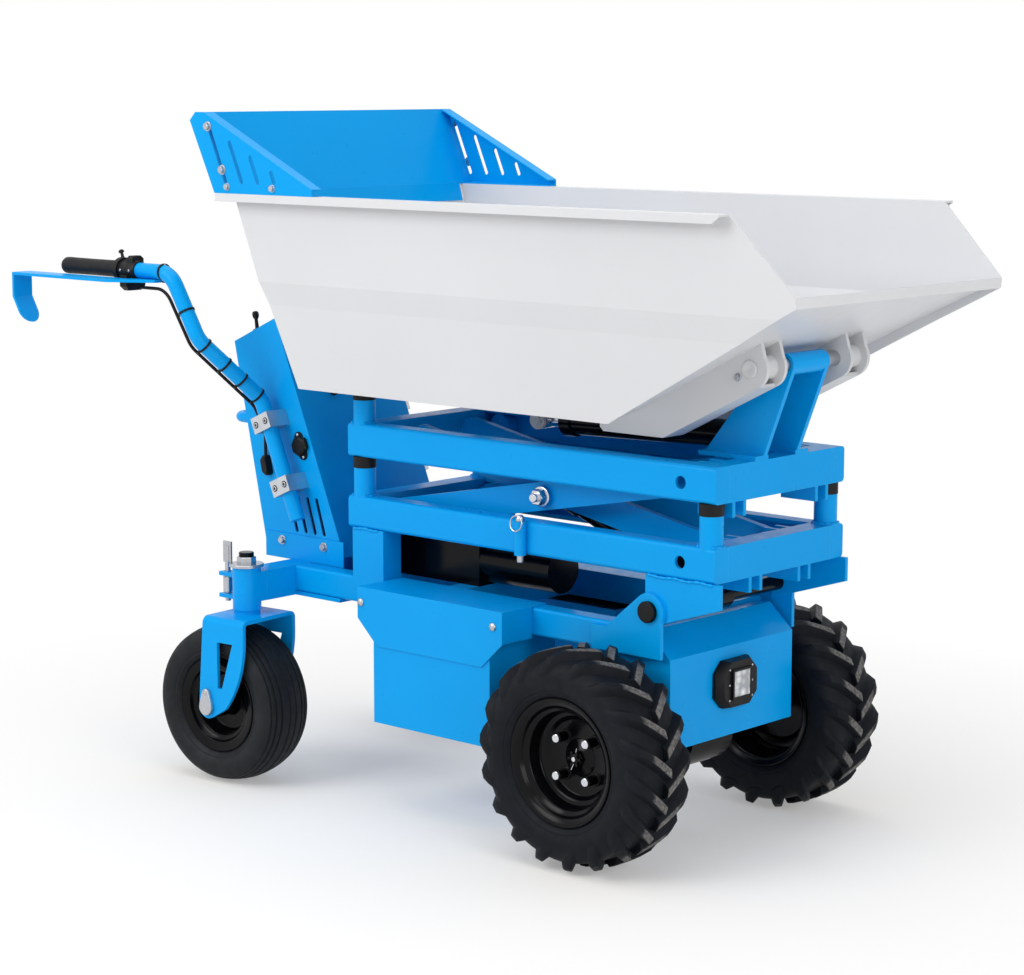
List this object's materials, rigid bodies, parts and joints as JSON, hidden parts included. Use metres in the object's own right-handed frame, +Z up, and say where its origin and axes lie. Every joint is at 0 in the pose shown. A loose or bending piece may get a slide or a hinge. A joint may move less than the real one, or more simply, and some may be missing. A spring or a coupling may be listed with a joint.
{
  "type": "walk-behind electric site dumper",
  "caption": "Walk-behind electric site dumper: open hopper that tips forward on a scissor lift, lugged drive wheels, swivel casters, rear console and handles.",
  "frame": {"origin": "on the floor under the middle of the machine's length and width", "axes": "+X forward towards the pouring lip, +Y to the machine's left, +Z up"},
  "size_m": [2.017, 0.7838, 1.358],
  "materials": {
    "blue_paint": "gloss powder coat",
    "white_paint": "satin powder coat",
    "grey_paint": "satin powder coat",
    "black_rubber": "matte rubber",
    "tyre": "matte moulded rubber",
    "black_paint": "gloss black paint",
    "chrome": "hard chrome",
    "zinc": "zinc plate",
    "aluminium": "machined aluminium",
    "black_plastic": "moulded plastic",
    "lamp_glass": "clear lens"
  },
  "bodies": {
    "chassis": {"chassis_rails": "blue_paint", "caster_beam": "blue_paint", "swivel_locks": "zinc", "cross_members": "blue_paint", "front_side_plates": "blue_paint", "lift_pin": "black_paint", "lower_side_channels": "blue_paint", "lower_cross_rails": "blue_paint", "stop_pads": "black_rubber", "safety_pin": "zinc", "hydraulic_unit": "black_paint", "front_cover": "blue_paint", "work_lamp": "black_plastic", "lamp_lens": "lamp_glass", "drive_axle": "black_paint", "console_stand": "blue_paint", "console_shell": "blue_paint", "console_fittings": "black_plastic", "handle_clamps": "aluminium", "grab_bar": "blue_paint", "handles": "blue_paint", "handle_guards": "blue_paint", "grips": "black_rubber", "hand_controls": "black_plastic", "handle_cables": "black_rubber", "battery_boxes": "blue_paint", "battery_lids": "blue_paint", "batteries": "black_plastic"},
    "inner_arms": {"inner_arms": "blue_paint", "arm_cross_tube": "blue_paint"},
    "outer_arms": {"outer_arms": "blue_paint", "roller_axle": "blue_paint"},
    "platform": {"upper_side_channels": "blue_paint", "upper_cross_rails": "blue_paint", "hopper_rest_pads": "black_rubber", "pivot_tower": "blue_paint"},
    "hopper": {"hopper_tub": "white_paint", "hopper_brackets": "grey_paint", "hinge_pin": "zinc", "guard_panel": "blue_paint", "guard_sides": "blue_paint"},
    "lift_barrel": {"lift_barrel": "black_paint"},
    "lift_rod": {"lift_rod": "chrome"},
    "tip_barrel": {"tip_barrel": "black_paint"},
    "tip_rod": {"tip_rod": "chrome"},
    "front_wheel_left": {"front_tyre_left": "tyre", "front_rim_left": "black_paint"},
    "caster_fork_left": {"caster_fork_left": "blue_paint"},
    "caster_wheel_left": {"caster_tyre_left": "tyre", "caster_rim_left": "black_paint"},
    "front_wheel_right": {"front_tyre_right": "tyre", "front_rim_right": "black_paint"},
    "caster_fork_right": {"caster_fork_right": "blue_paint"},
    "caster_wheel_right": {"caster_tyre_right": "tyre", "caster_rim_right": "black_paint"}
  },
  "joints": [
    {"name": "lift", "type": "hinge", "parent": "chassis", "child": "inner_arms", "pos_m": [0.6745, 0, 0.568], "axis": [0, 1, 0], "range_deg": [0, 42]},
    {"name": "scissor_pivot", "type": "hinge", "parent": "inner_arms", "child": "outer_arms", "pos_m": [0.2945, 0, 0.64025], "axis": [0, 1, 0], "range_deg": [-85, 1]},
    {"name": "platform_pivot", "type": "hinge", "parent": "outer_arms", "child": "platform", "pos_m": [0.6745, 0, 0.7125], "axis": [0, 1, 0], "range_deg": [-1, 43]},
    {"name": "tip", "type": "hinge", "parent": "platform", "child": "hopper", "pos_m": [0.7965, 0, 0.921], "axis": [0, 1, 0], "range_deg": [0, 50]},
    {"name": "lift_barrel_swing", "type": "hinge", "parent": "chassis", "child": "lift_barrel", "pos_m": [0.6095, 0, 0.47], "axis": [0, 1, 0], "range_deg": [-2, 43.2]},
    {"name": "lift_rod_slide", "type": "slide", "parent": "lift_barrel", "child": "lift_rod", "axis": [-0.9221, 0, 0.387], "range_m": [-0.002, 0.0865]},
    {"name": "tip_barrel_swing", "type": "hinge", "parent": "platform", "child": "tip_barrel", "pos_m": [0.6595, 0, 0.778], "axis": [0, 1, 0], "range_deg": [-2, 59.3]},
    {"name": "tip_rod_slide", "type": "slide", "parent": "tip_barrel", "child": "tip_rod", "axis": [-0.9997, 0, -0.0253], "range_m": [-0.002, 0.1568]},
    {"name": "front_wheel_left_spin", "type": "hinge", "parent": "chassis", "child": "front_wheel_left", "pos_m": [0.5345, 0.294, 0.205], "axis": [0, 1, 0], "continuous": true},
    {"name": "caster_left_swivel", "type": "hinge", "parent": "chassis", "child": "caster_fork_left", "pos_m": [-0.3615, 0.302, 0.35], "axis": [0, 0, 1], "continuous": true},
    {"name": "caster_left_spin", "type": "hinge", "parent": "caster_fork_left", "child": "caster_wheel_left", "pos_m": [-0.40135, 0.30549, 0.163], "axis": [0.0872, 0.9962, 0], "continuous": true},
    {"name": "front_wheel_right_spin", "type": "hinge", "parent": "chassis", "child": "front_wheel_right", "pos_m": [0.5345, -0.294, 0.205], "axis": [0, 1, 0], "continuous": true},
    {"name": "caster_right_swivel", "type": "hinge", "parent": "chassis", "child": "caster_fork_right", "pos_m": [-0.3615, -0.302, 0.35], "axis": [0, 0, 1], "continuous": true},
    {"name": "caster_right_spin", "type": "hinge", "parent": "caster_fork_right", "child": "caster_wheel_right", "pos_m": [-0.40135, -0.30549, 0.163], "axis": [-0.0872, 0.9962, 0], "continuous": true}
  ],
  "couplings": [
    {"joint": "scissor_pivot", "follows": "lift", "ratio": -2},
    {"joint": "platform_pivot", "follows": "lift", "ratio": 1},
    {"joint": "lift_barrel_swing", "follows": "lift", "ratio": 0.97993},
    {"joint": "lift_rod_slide", "follows": "lift", "m_per_rad": 0.11533},
    {"joint": "tip_barrel_swing", "follows": "tip", "ratio": 1.1465},
    {"joint": "tip_rod_slide", "follows": "tip", "m_per_rad": 0.17734}
  ]
}
